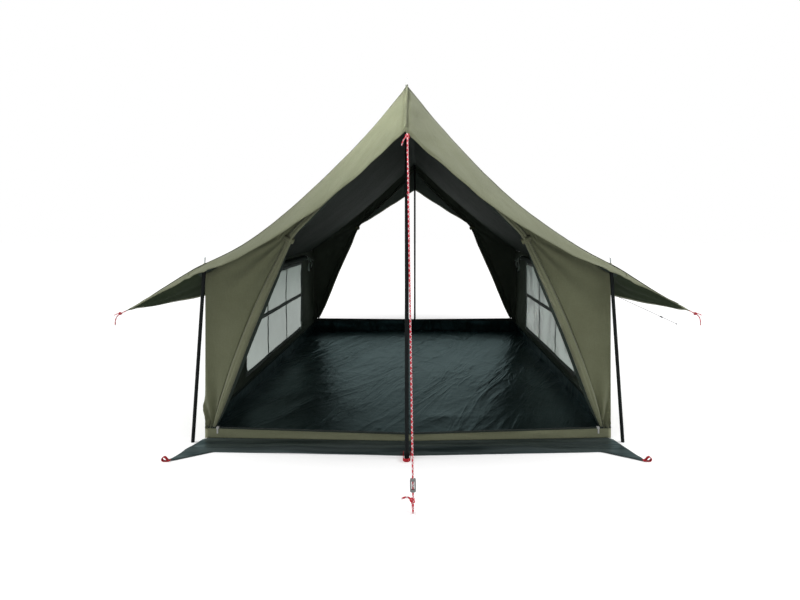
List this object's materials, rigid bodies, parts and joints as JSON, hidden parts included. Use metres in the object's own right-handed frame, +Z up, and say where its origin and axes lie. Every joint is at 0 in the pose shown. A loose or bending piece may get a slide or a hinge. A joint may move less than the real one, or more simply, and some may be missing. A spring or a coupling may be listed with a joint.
{
  "type": "canvas wall tent",
  "caption": "Ridged canvas wall tent with doors tied back at both ends, visors over them, side awnings with wings, net windows, groundsheet tray and aprons.",
  "frame": {"origin": "the middle of the floor, on the ground under the groundsheet", "axes": "+X to the right of someone who looks in at the front door, +Y from the front door to the rear door, +Z up"},
  "size_m": [5.2212, 4.3706, 2.14],
  "materials": {
    "canvas": "matt olive canvas",
    "window_net": "pale grey net and tape",
    "groundsheet": "black green coated sheeting, creased",
    "pole_steel": "black, half gloss",
    "webbing": "red webbing",
    "red_cord": "red cord with a white fleck",
    "grey_cord": "grey cord",
    "slider_plastic": "grey plastic",
    "toggle_plastic": "black plastic",
    "zip_metal": "white enamel"
  },
  "bodies": {
    "tent": {"roof_canopy": "canvas", "groundsheet": "groundsheet", "side_awning_left": "canvas", "side_wall_left": "canvas", "window_curtain_left": "canvas", "window_left": "window_net", "curtain_tie_left": "window_net", "wing_cord_left": "red_cord", "side_awning_right": "canvas", "side_wall_right": "canvas", "window_curtain_right": "canvas", "window_right": "window_net", "curtain_tie_right": "window_net", "wing_cord_right": "red_cord", "front_sill": "canvas", "front_apron": "groundsheet", "front_pole_lower": "pole_steel", "front_pole_upper": "pole_steel", "front_foot_loop": "webbing", "front_panel_left": "canvas", "front_door_left": "canvas", "front_door_tie_left": "canvas", "front_corner_pole_left": "pole_steel", "front_peg_loop_left": "webbing", "front_panel_right": "canvas", "front_door_right": "canvas", "front_door_tie_right": "canvas", "front_corner_pole_right": "pole_steel", "front_peg_loop_right": "webbing", "rear_sill": "canvas", "rear_apron": "groundsheet", "rear_pole_lower": "pole_steel", "rear_pole_upper": "pole_steel", "rear_foot_loop": "webbing", "rear_panel_left": "canvas", "rear_door_left": "canvas", "rear_door_tie_left": "canvas", "rear_corner_pole_left": "pole_steel", "rear_peg_loop_left": "webbing", "rear_panel_right": "canvas", "rear_door_right": "canvas", "rear_door_tie_right": "canvas", "rear_corner_pole_right": "pole_steel", "rear_peg_loop_right": "webbing", "guyline_front": "red_cord", "guyline_rear_right": "grey_cord", "guyline_toggle": "toggle_plastic"},
    "front_zip_slider_left": {"front_zip_slider_left": "zip_metal"},
    "front_zip_pull_left": {"front_zip_pull_left": "zip_metal"},
    "front_zip_slider_right": {"front_zip_slider_right": "zip_metal"},
    "front_zip_pull_right": {"front_zip_pull_right": "zip_metal"},
    "rear_zip_slider_left": {"rear_zip_slider_left": "zip_metal"},
    "rear_zip_pull_left": {"rear_zip_pull_left": "zip_metal"},
    "rear_zip_slider_right": {"rear_zip_slider_right": "zip_metal"},
    "rear_zip_pull_right": {"rear_zip_pull_right": "zip_metal"},
    "guyline_slider": {"guyline_slider": "slider_plastic"}
  },
  "joints": [
    {"name": "front_zip_travel_left", "type": "slide", "parent": "tent", "child": "front_zip_slider_left", "axis": [0.9992, -0.0376, -0.016], "range_m": [0, 1.15]},
    {"name": "front_zip_pull_swing_left", "type": "hinge", "parent": "front_zip_slider_left", "child": "front_zip_pull_left", "pos_m": [-1.17038, -1.5144, 0.06472], "axis": [-0.9992, 0.0376, 0.016], "range_deg": [-5, 125]},
    {"name": "front_zip_travel_right", "type": "slide", "parent": "tent", "child": "front_zip_slider_right", "axis": [-0.9992, -0.0376, -0.016], "range_m": [0, 1.15]},
    {"name": "front_zip_pull_swing_right", "type": "hinge", "parent": "front_zip_slider_right", "child": "front_zip_pull_right", "pos_m": [1.17038, -1.5144, 0.06472], "axis": [-0.9992, -0.0376, -0.016], "range_deg": [-5, 125]},
    {"name": "rear_zip_travel_left", "type": "slide", "parent": "tent", "child": "rear_zip_slider_left", "axis": [0.9992, 0.0376, -0.016], "range_m": [0, 1.15]},
    {"name": "rear_zip_pull_swing_left", "type": "hinge", "parent": "rear_zip_slider_left", "child": "rear_zip_pull_left", "pos_m": [-1.17038, 1.5144, 0.15472], "axis": [0.9992, 0.0376, -0.016], "range_deg": [-5, 125]},
    {"name": "rear_zip_travel_right", "type": "slide", "parent": "tent", "child": "rear_zip_slider_right", "axis": [-0.9992, 0.0376, -0.016], "range_m": [0, 1.15]},
    {"name": "rear_zip_pull_swing_right", "type": "hinge", "parent": "rear_zip_slider_right", "child": "rear_zip_pull_right", "pos_m": [1.17038, 1.5144, 0.15472], "axis": [0.9992, -0.0376, 0.016], "range_deg": [-5, 125]},
    {"name": "guyline_slider_travel", "type": "slide", "parent": "tent", "child": "guyline_slider", "axis": [-0.0189, 0.1405, 0.9899], "range_m": [-0.022, 0.25]}
  ]
}
